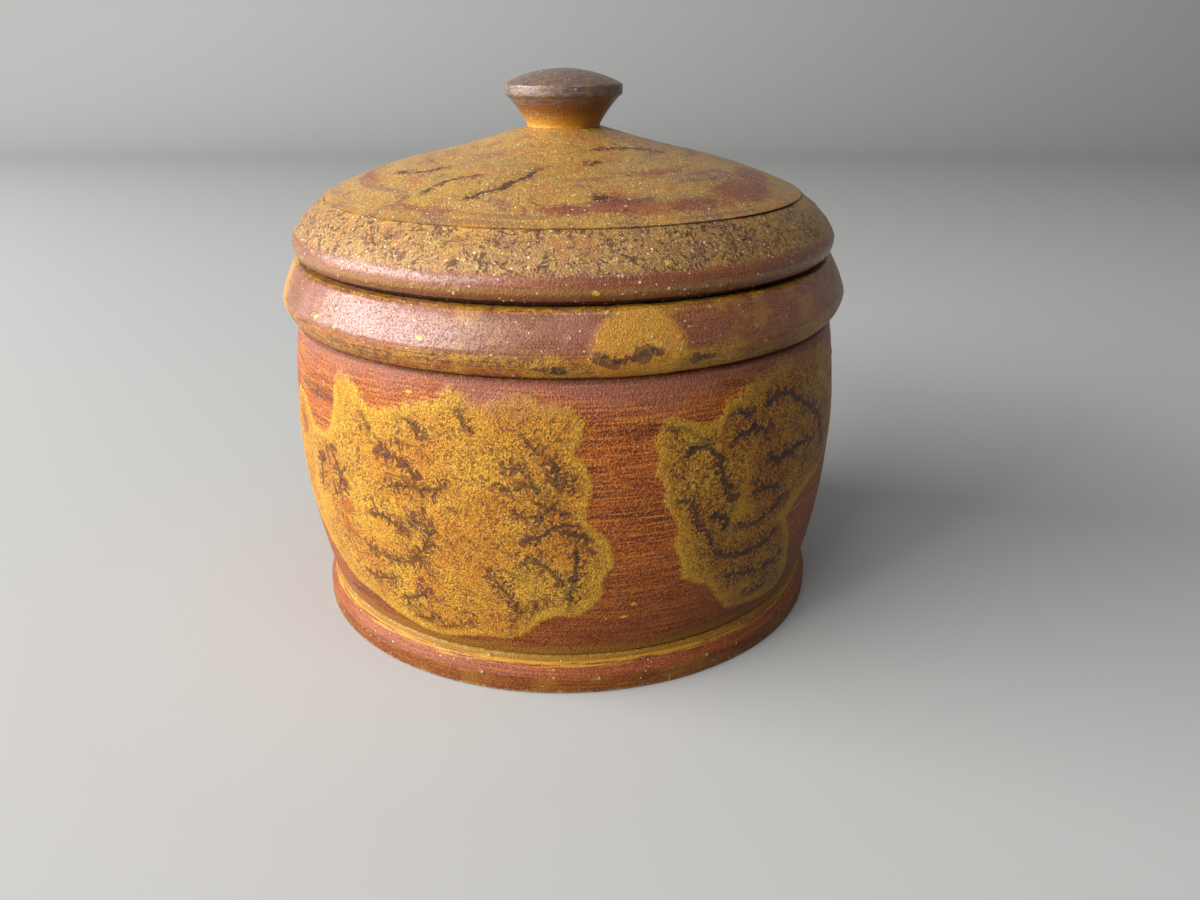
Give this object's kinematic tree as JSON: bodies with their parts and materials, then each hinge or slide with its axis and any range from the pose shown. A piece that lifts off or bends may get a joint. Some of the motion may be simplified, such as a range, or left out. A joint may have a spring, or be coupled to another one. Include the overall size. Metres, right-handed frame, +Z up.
{
  "type": "wooden canister",
  "caption": "Squat turned wooden canister with a bellied wall, bevelled rim band, moulded foot and a domed lift-off lid with a flared knob.",
  "frame": {"origin": "middle of the ring that the foot stands on", "axes": "+Z up along the turning axis, -Y towards the picture's camera, +X to its right"},
  "size_m": [0.1204, 0.1204, 0.1135],
  "materials": {
    "foot_paint": "red-brown paint with a mustard line, satin varnish, bare and darkened underneath",
    "peg_wood": "bare hardwood end grain, darkened",
    "wall_paint": "rust-red ground with mustard grained clouds and dark fern marks, satin varnish; bare inside",
    "rim_paint": "red-brown glaze with mustard patches, satin varnish",
    "lid_paint": "olive-mustard speckled paint with a red-brown lip, satin varnish; bare underneath",
    "bare_wood": "bare turned wood, darkened with age",
    "crown_paint": "olive-mustard mottled paint with rust streaks, satin varnish",
    "knob_paint": "dark umber worn by handling, mustard flare",
    "wedge_wood": "bare hardwood"
  },
  "bodies": {
    "canister": {"foot_board": "foot_paint", "foot_pegs": "peg_wood", "barrel_wall": "wall_paint", "rim_band": "rim_paint"},
    "lid": {"lid_board": "lid_paint", "lid_ring": "bare_wood", "lid_crown": "crown_paint", "knob": "knob_paint", "knob_wedge": "wedge_wood"}
  },
  "joints": [
    {"name": "lid_lift", "type": "slide", "parent": "canister", "child": "lid", "axis": [0, 0, 1], "range_m": [0, 0.12]}
  ]
}
